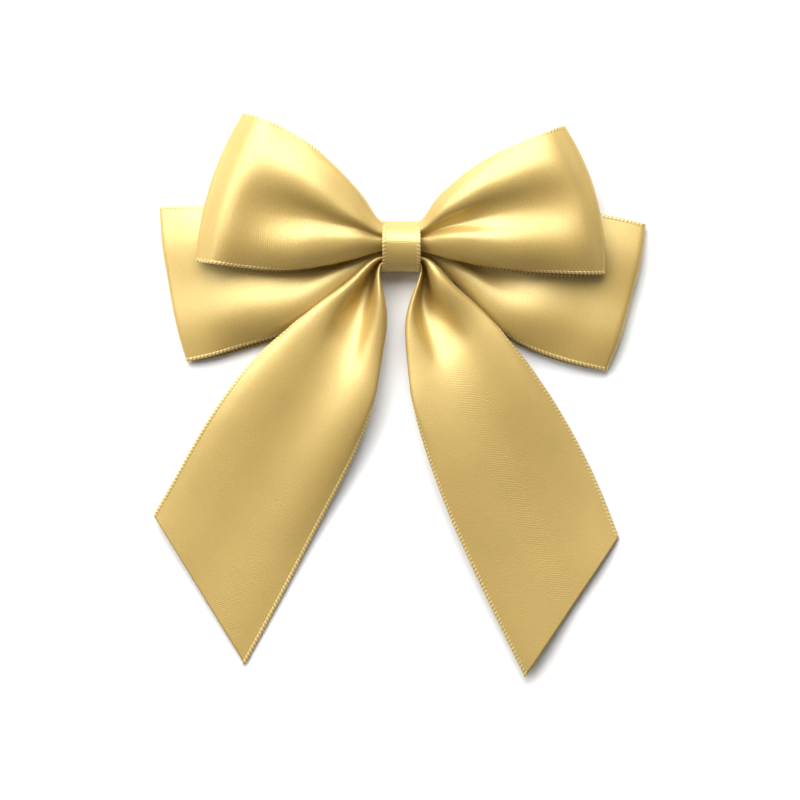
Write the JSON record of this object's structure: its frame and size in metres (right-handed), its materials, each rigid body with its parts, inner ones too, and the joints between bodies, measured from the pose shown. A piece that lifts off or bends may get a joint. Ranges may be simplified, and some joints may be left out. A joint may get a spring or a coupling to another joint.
{
  "type": "pre-made gift bow",
  "caption": "Ready-made satin ribbon bow with puffed front loops over flat back loops, two slant-cut hanging tails, a narrow centre band and a stick-on pad behind.",
  "frame": {"origin": "centre of the back face, on the release liner behind the knot, where the bow rests on what it decorates", "axes": "+Z out of the bow's face, +Y from the tails towards the top of the loops, +X to the right as the bow is looked at"},
  "size_m": [0.13, 0.147, 0.0167],
  "materials": {
    "gold_satin": "woven satin, soft sheen, pale gold",
    "gold_thread": "matt twisted thread",
    "hot_melt_glue": "set glue, cream, slightly shiny",
    "white_foam": "soft closed-cell foam, matt white",
    "liner_paper": "waxed release paper, satin tan"
  },
  "bodies": {
    "core": {"knot_band": "gold_satin", "band_glue": "hot_melt_glue", "binding_thread": "gold_thread", "front_ring_gather": "gold_satin", "tail_gather": "gold_satin", "back_ring_gather": "gold_satin", "foam_pad": "white_foam"},
    "front_loop_left": {"front_loop_left": "gold_satin"},
    "front_loop_right": {"front_loop_right": "gold_satin"},
    "back_loop_left": {"back_loop_left": "gold_satin"},
    "back_loop_right": {"back_loop_right": "gold_satin"},
    "tail_left": {"tail_left": "gold_satin"},
    "tail_right": {"tail_right": "gold_satin"},
    "liner": {"release_liner": "liner_paper"}
  },
  "joints": [
    {"name": "front_loop_left_lift", "type": "hinge", "parent": "core", "child": "front_loop_left", "pos_m": [-0.006, 0.0025, 0.00874], "axis": [0, 1, 0], "range_deg": [0, 35], "stiffness_Nm_per_rad": 0.0003},
    {"name": "front_loop_right_lift", "type": "hinge", "parent": "core", "child": "front_loop_right", "pos_m": [0.006, 0.0025, 0.00874], "axis": [0, -1, 0], "range_deg": [0, 35], "stiffness_Nm_per_rad": 0.0003},
    {"name": "back_loop_left_swing", "type": "hinge", "parent": "core", "child": "back_loop_left", "pos_m": [-0.006, -0.0006, 0.00505], "axis": [0, 0, 1], "range_deg": [-7, 7]},
    {"name": "back_loop_right_swing", "type": "hinge", "parent": "core", "child": "back_loop_right", "pos_m": [0.006, -0.0006, 0.00505], "axis": [0, 0, 1], "range_deg": [-7, 7]},
    {"name": "tail_left_lift", "type": "hinge", "parent": "core", "child": "tail_left", "pos_m": [-0.006, -0.00138, 0.00768], "axis": [-1, 0, 0], "range_deg": [0, 48]},
    {"name": "tail_right_lift", "type": "hinge", "parent": "core", "child": "tail_right", "pos_m": [0.006, -0.00138, 0.00768], "axis": [-1, 0, 0], "range_deg": [0, 48]},
    {"name": "liner_peel", "type": "slide", "parent": "core", "child": "liner", "axis": [0, 0, -1], "range_m": [0, 0.012]}
  ]
}
